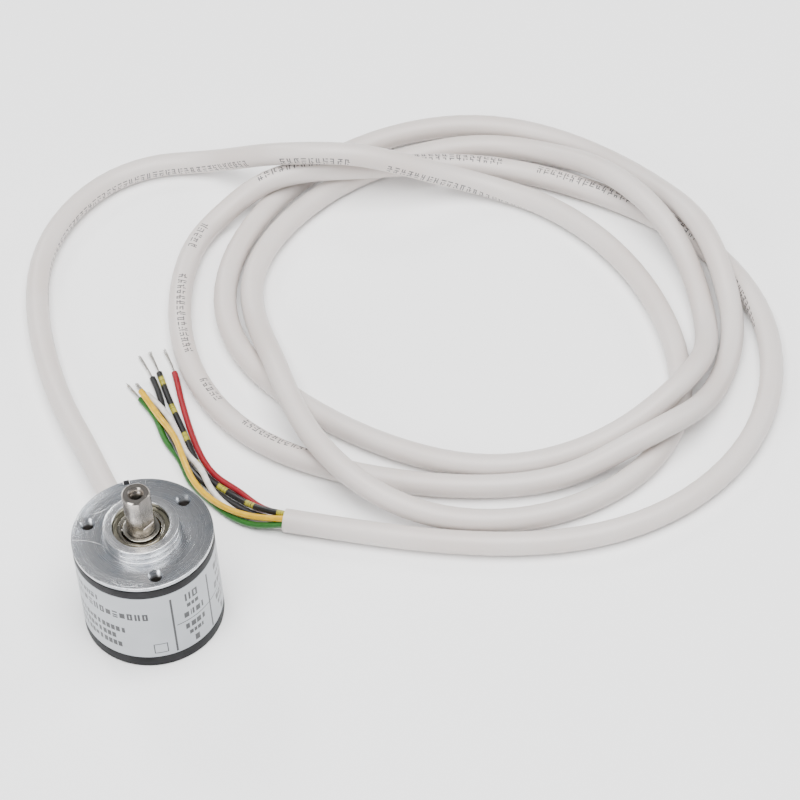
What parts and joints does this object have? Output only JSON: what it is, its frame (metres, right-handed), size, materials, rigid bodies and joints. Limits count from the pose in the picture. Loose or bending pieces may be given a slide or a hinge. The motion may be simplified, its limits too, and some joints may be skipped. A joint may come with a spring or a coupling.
{
  "type": "rotary encoder",
  "caption": "Shaft encoder that turns rotation into electrical signals, with a face-mounting flange, pilot boss, flatted shaft and a coiled cable with stripped leads.",
  "frame": {"origin": "centre of the cap's underside, on the shaft's axis", "axes": "+Z along the shaft towards its free end; +Y is the way the cable leaves; +X completes the right-handed frame"},
  "size_m": [0.1665, 0.143, 0.039],
  "materials": {
    "turned_aluminium": "turned, fine circular lathe marks, light scratches",
    "bearing_steel": "ground, oiled, dark reflections",
    "shaft_steel": "ground along its length, satin",
    "dark_plastic": "satin, dark grey",
    "label_film": "silver-grey printed film, satin",
    "black_rubber": "matte",
    "brass": "machined",
    "disc_glass": "clear, polished",
    "board_green": "solder-masked laminate",
    "component_black": "moulded",
    "cable_white": "satin, warm white",
    "wire_red": "satin",
    "wire_black": "satin",
    "wire_banded": "black with olive-yellow bands",
    "wire_yellow": "satin",
    "wire_green": "satin",
    "wire_white": "satin"
  },
  "bodies": {
    "housing": {"flange": "turned_aluminium", "housing_o_ring": "black_rubber", "housing_cap": "dark_plastic", "label_wrap": "label_film", "front_bearing_outer_ring": "bearing_steel", "front_bearing_shield": "bearing_steel", "rear_bearing_outer_ring": "bearing_steel", "rear_bearing_shield": "bearing_steel", "wave_spring": "bearing_steel", "led_holder": "component_black", "led": "disc_glass", "collimator_lens": "disc_glass", "scanning_mask": "disc_glass", "sensor_chip": "component_black", "circuit_board": "board_green", "board_standoff_1": "brass", "board_standoff_2": "brass", "board_standoff_3": "brass", "board_screw_1": "bearing_steel", "board_screw_2": "bearing_steel", "board_screw_3": "bearing_steel", "driver_ic": "component_black", "wire_header": "component_black", "capacitor": "turned_aluminium", "cable_grommet": "black_rubber", "cable_crimp_sleeve": "brass", "cable_jacket": "cable_white", "lead_red": "wire_red", "lead_banded": "wire_banded", "lead_black": "wire_black", "lead_yellow": "wire_yellow", "lead_green": "wire_green", "lead_white": "wire_white"},
    "rotor": {"shaft": "shaft_steel", "front_bearing_inner_ring": "bearing_steel", "rear_bearing_inner_ring": "bearing_steel", "bearing_spacer": "shaft_steel", "shaft_circlip": "bearing_steel", "disc_hub": "brass", "hub_set_screw": "bearing_steel", "code_disc": "disc_glass"},
    "front_cage": {"front_bearing_cage": "brass", "front_bearing_ball_1": "bearing_steel", "front_bearing_ball_2": "bearing_steel", "front_bearing_ball_3": "bearing_steel", "front_bearing_ball_4": "bearing_steel", "front_bearing_ball_5": "bearing_steel", "front_bearing_ball_6": "bearing_steel", "front_bearing_ball_7": "bearing_steel"},
    "rear_cage": {"rear_bearing_cage": "brass", "rear_bearing_ball_1": "bearing_steel", "rear_bearing_ball_2": "bearing_steel", "rear_bearing_ball_3": "bearing_steel", "rear_bearing_ball_4": "bearing_steel", "rear_bearing_ball_5": "bearing_steel", "rear_bearing_ball_6": "bearing_steel", "rear_bearing_ball_7": "bearing_steel"}
  },
  "joints": [
    {"name": "shaft_spin", "type": "hinge", "parent": "housing", "child": "rotor", "pos_m": [0, 0, 0.026], "axis": [0, 0, 1], "continuous": true},
    {"name": "front_cage_spin", "type": "hinge", "parent": "housing", "child": "front_cage", "pos_m": [0, 0, 0.026], "axis": [0, 0, 1], "continuous": true},
    {"name": "rear_cage_spin", "type": "hinge", "parent": "housing", "child": "rear_cage", "pos_m": [0, 0, 0.0185], "axis": [0, 0, 1], "continuous": true}
  ],
  "couplings": [
    {"joint": "front_cage_spin", "follows": "shaft_spin", "ratio": 0.41178},
    {"joint": "rear_cage_spin", "follows": "shaft_spin", "ratio": 0.41178}
  ]
}
